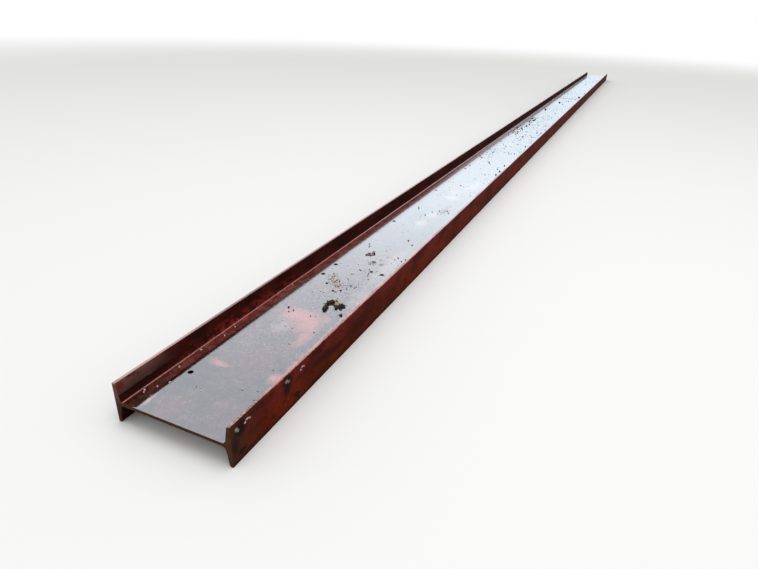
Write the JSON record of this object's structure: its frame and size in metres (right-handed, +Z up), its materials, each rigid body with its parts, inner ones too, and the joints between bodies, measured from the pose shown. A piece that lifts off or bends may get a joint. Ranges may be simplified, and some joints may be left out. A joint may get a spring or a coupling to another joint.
{
  "type": "steel girder",
  "caption": "Rolled steel I-section girder with tapered flanges in weathered red oxide primer, lying on its flange edges, with bolt holes drilled through the web.",
  "frame": {"origin": "under the middle of the girder's length and depth, at the level of the flange edges that it lies on", "axes": "+X across the depth of the section towards the right flange, +Y along the girder from its near end to its far end, +Z up"},
  "size_m": [0.4572, 13.716, 0.1524],
  "materials": {
    "primed_steel": "red oxide primer, wet with rain, chipped and rusting at the edges and ends"
  },
  "bodies": {
    "root": {"girder": "primed_steel"}
  },
  "joints": []
}
